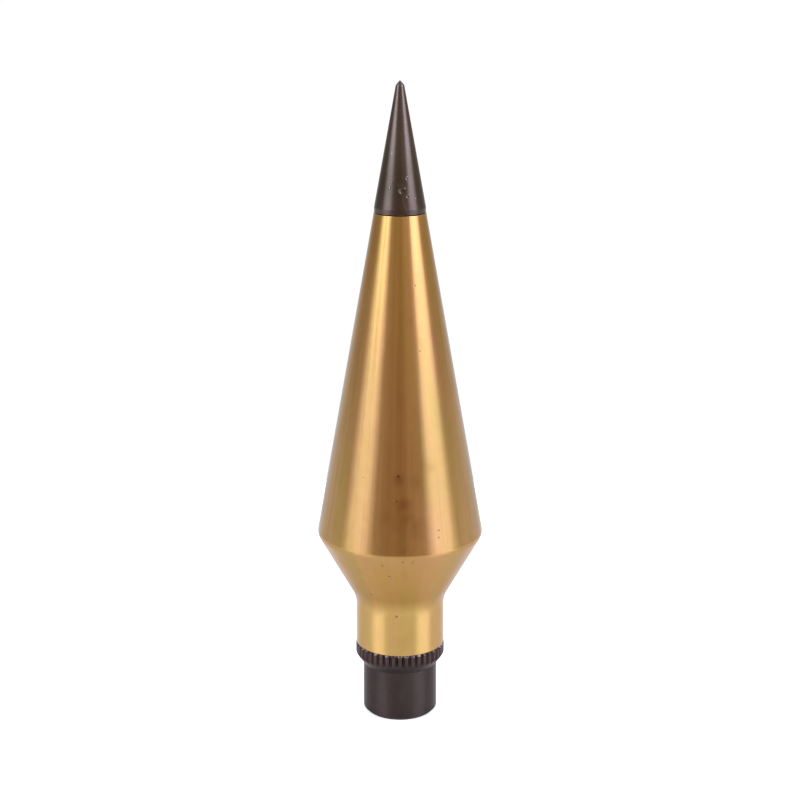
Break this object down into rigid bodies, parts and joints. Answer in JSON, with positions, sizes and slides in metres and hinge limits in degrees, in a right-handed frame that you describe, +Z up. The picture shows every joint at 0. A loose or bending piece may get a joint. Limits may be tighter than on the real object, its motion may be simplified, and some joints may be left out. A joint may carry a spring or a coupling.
{
  "type": "plumb bob",
  "caption": "Turned brass plumb bob with a screwed-in steel point and a knurled screw cap drilled for the line; stands on its cap, point up.",
  "frame": {"origin": "bottom centre of the cap, on the surface it stands on", "axes": "+Z up along the axis of the bob, from the cap's base to the tip of the point; the front is towards -Y"},
  "size_m": [0.0388, 0.0388, 0.15],
  "materials": {
    "brass": "turned and polished, lightly tarnished, with small pits",
    "point_steel": "blackened, worn and scratched, with a bright ground tip",
    "cap_black": "blackened, satin, with worn knurl crests",
    "washer_brass": "plain turned"
  },
  "bodies": {
    "bob": {"bob_body": "brass", "steel_point": "point_steel"},
    "line_seat": {"knot_washer": "washer_brass"},
    "cap": {"screw_cap": "cap_black"}
  },
  "joints": [
    {"name": "cap_travel", "type": "slide", "parent": "bob", "child": "line_seat", "axis": [0, 0, -1], "range_m": [0, 0.009]},
    {"name": "cap_turn", "type": "hinge", "parent": "line_seat", "child": "cap", "pos_m": [0, 0, 0.0173], "axis": [0, 0, -1], "range_deg": [0, 2160]}
  ],
  "couplings": [
    {"joint": "cap_travel", "follows": "cap_turn", "m_per_rad": 0.00023873}
  ]
}
